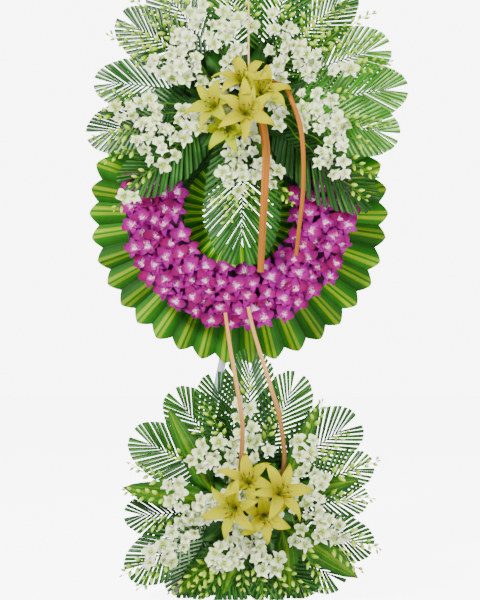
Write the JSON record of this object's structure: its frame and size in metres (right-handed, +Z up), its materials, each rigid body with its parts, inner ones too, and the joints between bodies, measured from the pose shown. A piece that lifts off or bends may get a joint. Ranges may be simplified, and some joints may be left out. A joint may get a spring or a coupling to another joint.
{
  "type": "standing funeral wreath",
  "caption": "Tiered standing funeral wreath: leaf-edged orchid ring with palm, orchid and lily sprays above and at the foot, on a low box stand.",
  "frame": {"origin": "centre line of the ring, at the flat underside of the plinth, 90 mm behind the plinth's front face", "axes": "+Z up, -Y towards the viewer (the flowers' front), +X to the viewer's right"},
  "size_m": [0.9065, 0.5699, 1.7763],
  "materials": {
    "painted_grey_board": "satin",
    "painted_pale_steel": "satin",
    "galvanised_wire": "satin",
    "bound_straw": "matte",
    "floral_foam": "matte",
    "striped_cordyline_rim": "satin",
    "striped_cordyline_leaf": "satin",
    "palm_leaf": "satin",
    "purple_orchid": "satin",
    "white_orchid": "satin",
    "yellow_lily": "satin",
    "rattan": "satin"
  },
  "bodies": {
    "root": {"apex_plate": "painted_pale_steel", "base_plinth": "painted_grey_board", "cordyline_leaf_1": "striped_cordyline_leaf", "cordyline_leaf_2": "striped_cordyline_leaf", "cordyline_leaf_3": "striped_cordyline_leaf", "cordyline_leaf_4": "striped_cordyline_leaf", "leaf_rim_1": "striped_cordyline_rim", "leaf_rim_2": "striped_cordyline_rim", "leaf_rim_3": "striped_cordyline_rim", "leaf_rim_4": "striped_cordyline_rim", "leaf_rim_5": "striped_cordyline_rim", "leaf_rim_6": "striped_cordyline_rim", "lilies_lower": "yellow_lily", "lilies_upper": "yellow_lily", "lower_bracket": "painted_pale_steel", "lower_foam": "floral_foam", "orchid_band_1": "purple_orchid", "orchid_band_2": "purple_orchid", "orchid_band_3": "purple_orchid", "orchid_band_4": "purple_orchid", "orchid_band_5": "purple_orchid", "orchid_band_6": "purple_orchid", "palm_lower_1": "palm_leaf", "palm_lower_2": "palm_leaf", "palm_lower_3": "palm_leaf", "palm_lower_4": "palm_leaf", "palm_lower_5": "palm_leaf", "palm_lower_6": "palm_leaf", "palm_lower_7": "palm_leaf", "palm_upper_1": "palm_leaf", "palm_upper_2": "palm_leaf", "palm_upper_3": "palm_leaf", "palm_upper_4": "palm_leaf", "palm_upper_5": "palm_leaf", "palm_upper_6": "palm_leaf", "palm_upper_7": "palm_leaf", "palm_upper_8": "palm_leaf", "palm_upper_9": "palm_leaf", "rattan_strip_1": "rattan", "rattan_strip_2": "rattan", "rattan_strip_3": "rattan", "rattan_strip_4": "rattan", "rattan_strip_5": "rattan", "ring_wire_frame": "galvanised_wire", "straw_ring": "bound_straw", "strut_left": "painted_pale_steel", "strut_rear": "painted_pale_steel", "strut_right": "painted_pale_steel", "upper_bracket": "painted_pale_steel", "upper_foam": "floral_foam", "white_orchid_lower_1": "white_orchid", "white_orchid_lower_2": "white_orchid", "white_orchid_lower_3": "white_orchid", "white_orchid_lower_4": "white_orchid", "white_orchid_upper_1": "white_orchid", "white_orchid_upper_2": "white_orchid", "white_orchid_upper_3": "white_orchid", "white_orchid_upper_4": "white_orchid", "white_orchid_upper_5": "white_orchid", "white_orchid_upper_6": "white_orchid"}
  },
  "joints": []
}
